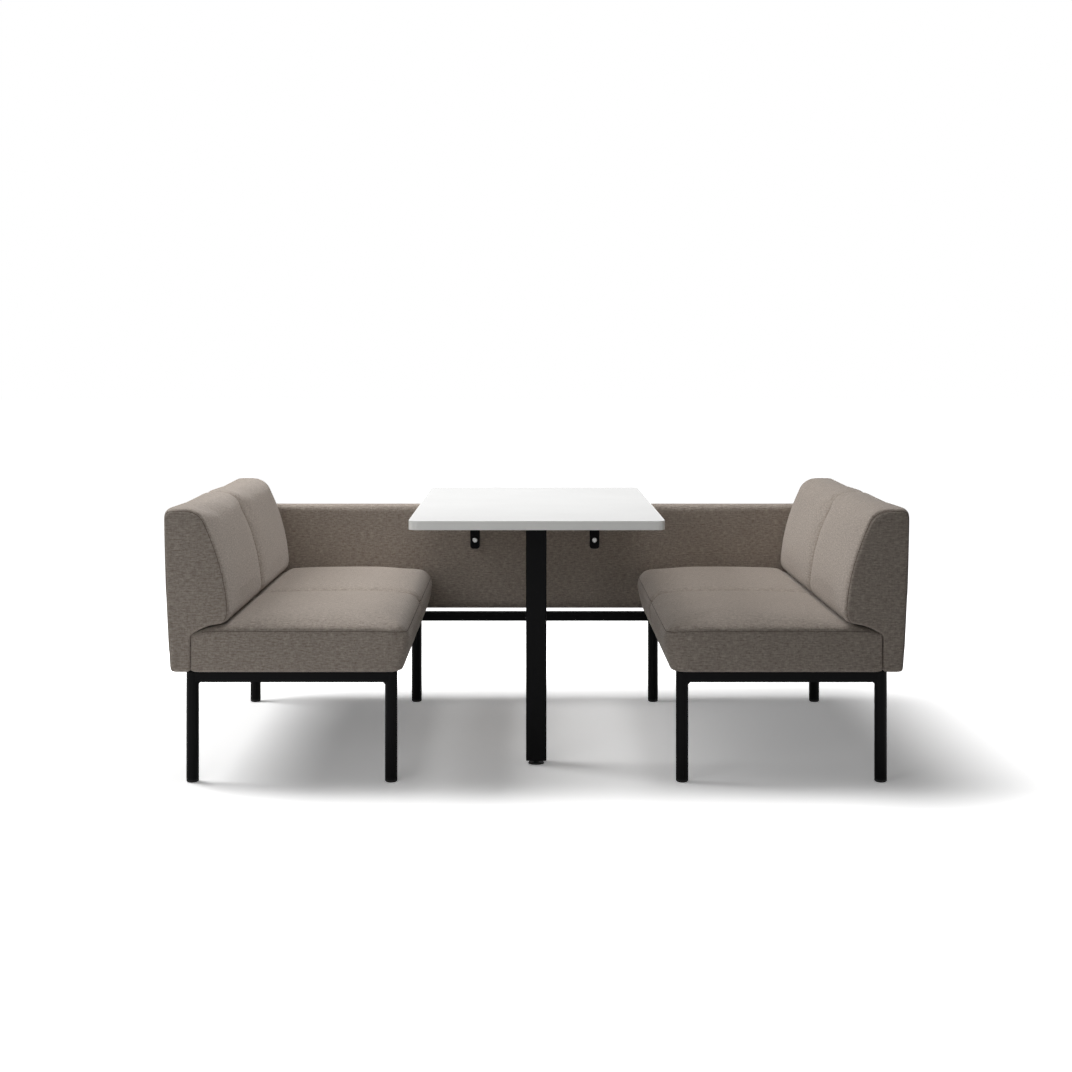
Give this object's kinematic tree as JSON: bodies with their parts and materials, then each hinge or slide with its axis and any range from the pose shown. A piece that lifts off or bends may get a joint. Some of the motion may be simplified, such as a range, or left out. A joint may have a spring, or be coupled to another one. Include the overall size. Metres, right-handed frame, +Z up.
{
  "type": "dining booth with table",
  "caption": "Dining booth: upholstered benches on black tube legs face each other across a white table on a square column with a screw leveller, tied by a low upholstered rear panel.",
  "frame": {"origin": "on the floor, under the middle of the booth's bounding box", "axes": "+X to the right bench seen from the open front, +Y to the rear panel, +Z up"},
  "size_m": [2.0796, 1.265, 0.771],
  "materials": {
    "melange_fabric": "woven melange upholstery cloth over foam",
    "plywood": "sanded plywood",
    "chipboard": "raw chipboard",
    "white_laminate": "smooth satin laminate",
    "pale_edge_band": "satin edge band",
    "black_plastic": "moulded plastic",
    "zinc_steel": "bright zinc plated",
    "black_steel": "satin powder coat"
  },
  "bodies": {
    "booth": {"back_board_screws": "zinc_steel", "column_foot_plug": "black_steel", "column_plate_screws": "zinc_steel", "column_top_plate": "black_steel", "crossbar_bolts": "zinc_steel", "crossbar_spacers": "zinc_steel", "left_back_brackets": "black_steel", "left_front_back_board": "plywood", "left_front_back_pad": "melange_fabric", "left_front_inner_glide": "black_plastic", "left_front_leg_frame": "black_steel", "left_front_outer_glide": "black_plastic", "left_front_seat_deck": "plywood", "left_front_seat_pad": "melange_fabric", "left_inner_long_rail": "black_steel", "left_outer_long_rail": "black_steel", "left_rear_back_board": "plywood", "left_rear_back_pad": "melange_fabric", "left_rear_inner_glide": "black_plastic", "left_rear_leg_frame": "black_steel", "left_rear_outer_glide": "black_plastic", "left_rear_seat_deck": "plywood", "left_rear_seat_pad": "melange_fabric", "left_table_bracket": "black_steel", "panel_bracket_bolts": "zinc_steel", "panel_brackets": "black_steel", "panel_core": "plywood", "panel_core_screws": "zinc_steel", "panel_pad": "melange_fabric", "panel_tee_nuts": "zinc_steel", "rear_crossbar": "black_steel", "right_back_brackets": "black_steel", "right_front_back_board": "plywood", "right_front_back_pad": "melange_fabric", "right_front_inner_glide": "black_plastic", "right_front_leg_frame": "black_steel", "right_front_outer_glide": "black_plastic", "right_front_seat_deck": "plywood", "right_front_seat_pad": "melange_fabric", "right_inner_long_rail": "black_steel", "right_outer_long_rail": "black_steel", "right_rear_back_board": "plywood", "right_rear_back_pad": "melange_fabric", "right_rear_inner_glide": "black_plastic", "right_rear_leg_frame": "black_steel", "right_rear_outer_glide": "black_plastic", "right_rear_seat_deck": "plywood", "right_rear_seat_pad": "melange_fabric", "right_table_bracket": "black_steel", "seat_deck_screws": "zinc_steel", "table_bottom_laminate": "white_laminate", "table_bracket_bolts": "zinc_steel", "table_bracket_screws": "zinc_steel", "table_column": "black_steel", "table_core": "chipboard", "table_edge_band": "pale_edge_band", "table_top_laminate": "white_laminate"},
    "foot_pad": {"column_foot_pad": "black_plastic"},
    "foot_spindle": {"column_foot_spindle": "zinc_steel"}
  },
  "joints": [
    {"name": "foot_slide", "type": "slide", "parent": "booth", "child": "foot_pad", "axis": [0, 0, -1], "range_m": [-0.0045, 0.0115]},
    {"name": "spindle_turn", "type": "hinge", "parent": "foot_pad", "child": "foot_spindle", "pos_m": [0, -0.3675, 0.025], "axis": [0, 0, -1], "range_deg": [-720, 2160]}
  ],
  "couplings": [
    {"joint": "foot_slide", "follows": "spindle_turn", "m_per_rad": 0.00023873}
  ]
}
